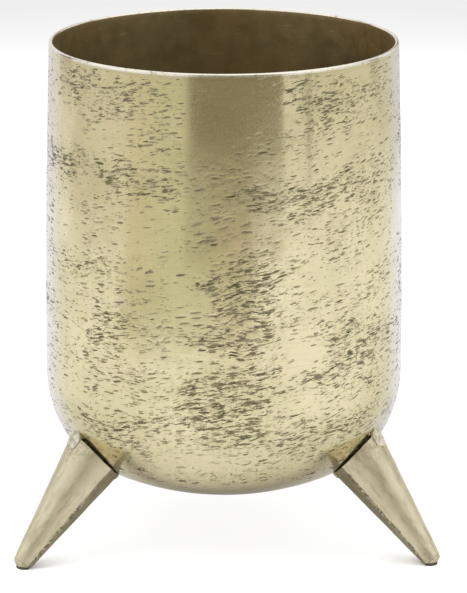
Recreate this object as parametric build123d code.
from build123d import *
import os
from math import sin, cos, radians, sqrt, atan2, hypot

# Brass planter pot: a tall spun bowl, open at the top, on three hollow tapered legs.
# Millimetres. +Z up, Z = 0 is the floor under the foot pads, X = 0 / Y = 0 is the middle
# of the object's footprint. The front of the pot is -Y, one leg points straight back (+Y).
# Everything is drawn round the bowl's axis with Z = 0 at the bowl's virtual lowest point,
# each leg along +X, and moved into the final frame at the end.

# ---------------------------------------------------------------- bowl dimensions
WALL = 2.0             # spun wall
BOWL_Z = 28.3          # bowl's virtual lowest point above the floor
POT_H = 256.4          # rim above the bowl's virtual lowest point
RIM_R = 96.7           # outer radius at the rim
SEAT_R = 22.0          # flat disc at the centre of the bottom
CROWN_R = 160.0        # shallow bottom dome
CROWN_ANGLE = radians(26.3)      # where the dome ends, up from straight down
KNUCKLE1_R = 48.0      # tight lower knuckle
KNUCKLE1_ANGLE = radians(60.4)   # where it eases
KNUCKLE2_R = 66.7      # easier upper knuckle
KNUCKLE2_ANGLE = radians(90)     # vertical at the belly
BLOCK_TOP = 150.0      # top of the solid bowl blocks used as cutters

# ---------------------------------------------------------------- leg dimensions
LEG_AZIMUTHS = {"fl": -60.0, "fr": 60.0, "rear": 180.0}   # degrees, 0 = front, towards +X
LEG_TOP = (79.4, 30.0)     # upper point of the leg axis: radius, height
LEG_TIP = (128.6, -24.0)   # lower point
# leg section: width across the seams, outer depth, inner depth, width of the flat back
TOP_SECTION = (35.3, 21.8, 10.6, 24.6)
TIP_SECTION = (12.9, 6.9, 2.7, 10.4)
ARC_STEPS = 12             # spline spans in the outer half of the section
LEG_WALL = 1.6             # sheet of the leg shells
BACK_EDGE_INSET = 0.8      # inset of the flat back's edges, as a share of the sheet

# places along a leg are fractions of the axis from LEG_TOP to LEG_TIP
BLANK_START = -0.20        # the blanks start above the joint and are cut back to the bowl
SHELL_END = 1.045
INNER_OVERRUN = 0.02       # the inner cutters pass the blanks' ends by this
SEAM_START, SEAM_END = 0.14, SHELL_END - 0.06
BEAD_R = 0.75              # half width of the lengthwise seam welds

LEG_GAP = 0.6              # least gap between the leg's cut top edge and the bowl
JOINT_SHIFT = (1.6, 0.8)   # second cut, this far out and up, opens the gap outwards
PLATE_T = 1.8              # plate that closes the leg's upper end
RIDGE_GROWTH = 0.9         # upper braze stands this far outside the outer shell's section
RIDGE_END = 0.25           # and stops within this fraction

PLUG_R = 7.2               # rounded plug in the tip
PLUG_AT = (0.985, 1.4)     # its centre: fraction, distance outwards from the axis
PLUG_SPAN = (0.86, 1.20)   # fractions between which it may lie
PLUG_INSET = 0.25          # its sides, inside the shells' outer surface

PAD_ALONG, PAD_ACROSS = 3.5, 4.4   # floor pad, half sizes
PAD_AT = 131.0             # its distance from the pot's axis
PAD_T = 1.2
FLOOR = -BOWL_Z
UNDER_SIZE = (60, 60, 40)  # block that trims the leg tip level with the pad's top

os.makedirs("parts", exist_ok=True)


def largest(shape):
    return max(shape.solids(), key=lambda solid: solid.volume)


# ---------------------------------------------------------------- bowl
def next_centre(centre, radius, next_radius, angle):
    """Centre of the arc that carries on tangent to this one from the given angle."""
    step = radius - next_radius
    return (centre[0] + step * sin(angle), centre[1] - step * cos(angle))


CROWN_C = (0.0, CROWN_R)
KNUCKLE1_C = next_centre(CROWN_C, CROWN_R, KNUCKLE1_R, CROWN_ANGLE)
KNUCKLE2_C = next_centre(KNUCKLE1_C, KNUCKLE1_R, KNUCKLE2_R, KNUCKLE1_ANGLE)
BELLY_R = KNUCKLE2_C[0] + KNUCKLE2_R
# the side is one arc, vertical at the belly and passing through the rim
NARROWING = BELLY_R - RIM_R
SIDE_R = ((POT_H - KNUCKLE2_C[1]) ** 2 + NARROWING ** 2) / (2 * NARROWING)
SIDE_C = (BELLY_R - SIDE_R, KNUCKLE2_C[1])


def bowl_profile(offset, z_end):
    """Profile moved outwards by offset: its centre point, its edges, its end at z_end."""
    def arc_point(centre, radius, angle):
        reach = radius + offset
        return (centre[0] + reach * sin(angle), 0.0, centre[1] - reach * cos(angle))

    def side_point(z):
        return (SIDE_C[0] + sqrt((SIDE_R + offset) ** 2 - (z - SIDE_C[1]) ** 2), 0.0, z)

    # the dome starts where it has climbed to the flat seat's height
    z_seat = CROWN_R - sqrt(CROWN_R ** 2 - SEAT_R ** 2) - offset
    drop = CROWN_R - z_seat
    angle = atan2(sqrt((CROWN_R + offset) ** 2 - drop ** 2), drop)
    seat = (0.0, 0.0, z_seat)
    start = arc_point(CROWN_C, CROWN_R, angle)
    edges = [Line(seat, start)]
    for centre, radius, end_angle in [
        (CROWN_C, CROWN_R, CROWN_ANGLE),
        (KNUCKLE1_C, KNUCKLE1_R, KNUCKLE1_ANGLE),
        (KNUCKLE2_C, KNUCKLE2_R, KNUCKLE2_ANGLE),
    ]:
        middle = arc_point(centre, radius, (angle + end_angle) / 2)
        end = arc_point(centre, radius, end_angle)
        edges.append(ThreePointArc(start, middle, end))
        start, angle = end, end_angle
    end = side_point(z_end)
    edges.append(ThreePointArc(start, side_point((z_end + start[2]) / 2), end))
    return seat, edges, end


def revolved(edges):
    return revolve(make_face(edges), axis=Axis.Z, revolution_arc=360)


def make_pot():
    """Thin wall between the outer profile and its inward offset, with a rounded rim."""
    z_rim = POT_H - WALL / 2
    outer_seat, outer, outer_end = bowl_profile(0.0, z_rim)
    inner_seat, inner, inner_end = bowl_profile(-WALL, z_rim)
    rim_top = ((outer_end[0] + inner_end[0]) / 2, 0.0, POT_H)
    rim = ThreePointArc(outer_end, rim_top, inner_end)
    return largest(revolved(outer + [rim] + inner + [Line(inner_seat, outer_seat)]))


def bowl_block(offset):
    """Solid bowl outline moved outwards by offset, used as a cutter."""
    seat, edges, end = bowl_profile(offset, BLOCK_TOP)
    top_centre = (0.0, 0.0, BLOCK_TOP)
    return revolved(edges + [Line(end, top_centre), Line(top_centre, seat)])


def saddle_blocks(offset):
    """The two bowl blocks, shifted and plain, that cut the leg's top end."""
    block = bowl_block(offset)
    return Pos(JOINT_SHIFT[0], 0, JOINT_SHIFT[1]) * block, block


# ---------------------------------------------------------------- leg section and blanks
AXIS_RUN = (LEG_TIP[0] - LEG_TOP[0], LEG_TIP[1] - LEG_TOP[1])
AXIS_L = hypot(*AXIS_RUN)
DOWN_LEG = (AXIS_RUN[0] / AXIS_L, AXIS_RUN[1] / AXIS_L)   # in the X-Z plane
OUTWARD = (-DOWN_LEG[1], DOWN_LEG[0])                     # square to it, out and up


def section(fraction):
    return [top + (tip - top) * fraction for top, tip in zip(TOP_SECTION, TIP_SECTION)]


def leg_point(fraction, outward, sideways):
    along = AXIS_L * fraction
    return (LEG_TOP[0] + DOWN_LEG[0] * along + OUTWARD[0] * outward,
            sideways,
            LEG_TOP[1] + DOWN_LEG[1] * along + OUTWARD[1] * outward)


def front_face(fraction, shrink):
    """Outer half of the section: a half ellipse from seam to seam, as one spline."""
    width, depth, _, _ = section(fraction)
    half_width = width / 2 - shrink
    points = []
    for i in range(ARC_STEPS + 1):
        angle = radians(-90 + 180 * i / ARC_STEPS)
        points.append(leg_point(fraction, (depth - shrink) * cos(angle),
                                half_width * sin(angle)))
    arc = Spline(*points, tangents=((OUTWARD[0], 0.0, OUTWARD[1]),
                                    (-OUTWARD[0], 0.0, -OUTWARD[1])))
    chord = Line(leg_point(fraction, 0, half_width), leg_point(fraction, 0, -half_width))
    return make_face([arc, chord])


def back_face(fraction, shrink):
    """Inner half of the section: a trapezium from the seams to the flat back."""
    width, _, depth, back_width = section(fraction)
    half_width = width / 2 - shrink
    half_back = back_width / 2 - shrink * BACK_EDGE_INSET
    corners = [
        leg_point(fraction, 0, half_width),
        leg_point(fraction, -depth + shrink, half_back),
        leg_point(fraction, -depth + shrink, -half_back),
        leg_point(fraction, 0, -half_width),
    ]
    return make_face([Line(corners[i], corners[(i + 1) % 4]) for i in range(4)])


def taper(face, shrink, start, end):
    return loft([face(start, shrink), face(end, shrink)], ruled=True)


def inner_taper(face):
    return taper(face, LEG_WALL, BLANK_START - INNER_OVERRUN, SHELL_END + INNER_OVERRUN)


bowl = bowl_block(0.0)
shifted_gap, plain_gap = saddle_blocks(LEG_GAP)
saddle = shifted_gap + plain_gap
under = Pos(LEG_TIP[0], 0, FLOOR + PAD_T - UNDER_SIZE[2] / 2) * Box(*UNDER_SIZE)

front_outer = taper(front_face, 0.0, BLANK_START, SHELL_END)
front_inner = inner_taper(front_face)
back_outer = taper(back_face, 0.0, BLANK_START, SHELL_END)
back_inner = inner_taper(back_face)
# filled leg halves under the saddle cut, which keep braze out of the tube
front_filled = front_outer - saddle
back_filled = back_outer - saddle


# ---------------------------------------------------------------- leg pieces
def make_shell(outer, inner):
    return largest(outer - inner - shifted_gap - plain_gap - under)


def make_top_plate():
    """Plate across the inside of the tube, its face following the saddle cut."""
    shifted, plain = saddle_blocks(LEG_GAP + PLATE_T)
    deeper = shifted + plain
    tube_inside = front_inner + back_inner
    return largest((tube_inside & deeper) - saddle)


def ellipsoid(radius, z, along, across, thick, tilt):
    """Ellipsoid in the leg's middle plane, its along axis tipped down outwards by tilt."""
    return Pos(radius, 0, z) * (Rot(0, tilt, 0) * scale(Sphere(1.0), by=(along, across, thick)))


def make_upper_braze():
    """Fills the wedge between the bowl and the top of the leg's outer ridge."""
    ridge = taper(front_face, -RIDGE_GROWTH, BLANK_START, RIDGE_END)
    lump = ellipsoid(radius=97.2, z=40.2, along=6.0, across=5.0, thick=4.0, tilt=60.0)
    return largest((ridge & lump) - bowl - front_filled)


def make_lower_braze():
    """Lump in the corner between the bowl and the back shell."""
    lump = ellipsoid(radius=74.9, z=17.1, along=3.8, across=7.8, thick=2.5, tilt=32.0)
    return largest(lump - bowl - back_filled - front_filled)


def make_seam_weld(side, lower_braze):
    """Round-ended rod centred on one seam line, less its neighbours."""
    start, end = [Vector(*leg_point(fraction, 0, side * (section(fraction)[0] / 2)))
                  for fraction in (SEAM_START, SEAM_END)]
    run = end - start
    start_plane = Plane(origin=start, z_dir=run)
    rod = extrude(start_plane * Circle(BEAD_R), amount=run.length)
    rod += start_plane * Sphere(BEAD_R)
    rod += Plane(origin=end, z_dir=run) * Sphere(BEAD_R)
    return largest(rod - front_outer - back_outer - lower_braze - under)


def make_tip_plug(front_shell, back_shell):
    """Fills the last of the tube and stands out as a blunt nose, cut level for the pad."""
    envelope = (taper(front_face, PLUG_INSET, *PLUG_SPAN)
                + taper(back_face, PLUG_INSET, *PLUG_SPAN))
    ball = Pos(*leg_point(*PLUG_AT, 0)) * Sphere(PLUG_R)
    return largest((envelope & ball) - front_shell - back_shell - under)


def make_foot_pad():
    return largest(Pos(PAD_AT, 0, FLOOR) * extrude(Ellipse(PAD_ALONG, PAD_ACROSS), amount=PAD_T))


def make_leg():
    """Solids of one leg pointing along +X, by piece name."""
    front_shell = make_shell(front_outer, front_inner)
    back_shell = make_shell(back_outer, back_inner)
    lower_braze = make_lower_braze()
    return {
        "front_shell": [front_shell],
        "back_shell": [back_shell],
        "top_plate": [make_top_plate()],
        "seam_welds": [make_seam_weld(side, lower_braze) for side in (1, -1)],
        "upper_braze": [make_upper_braze()],
        "lower_braze": [lower_braze],
        "tip_plug": [make_tip_plug(front_shell, back_shell)],
        "foot_pad": [make_foot_pad()],
    }


# ---------------------------------------------------------------- place and export
pieces = {"pot_body": [make_pot()]}
leg_pieces = make_leg()
for leg, azimuth in LEG_AZIMUTHS.items():
    turn = Rot(0, 0, azimuth - 90.0)   # from +X to an azimuth measured from -Y
    for name, solids in leg_pieces.items():
        pieces[f"leg_{leg}_{name}"] = [turn * solid for solid in solids]

# centre the footprint front to back and stand the pads on the floor
boxes = [solid.bounding_box() for solids in pieces.values() for solid in solids]
y_middle = (min(box.min.Y for box in boxes) + max(box.max.Y for box in boxes)) / 2
z_lowest = min(box.min.Z for box in boxes)
shift = Pos(0.0, -round(y_middle, 2), -round(z_lowest, 3))

for node, solids in pieces.items():
    moved = [shift * solid for solid in solids]
    shape = moved[0] if len(moved) == 1 else Compound(children=moved)
    export_step(shape, f"parts/{node}.step")
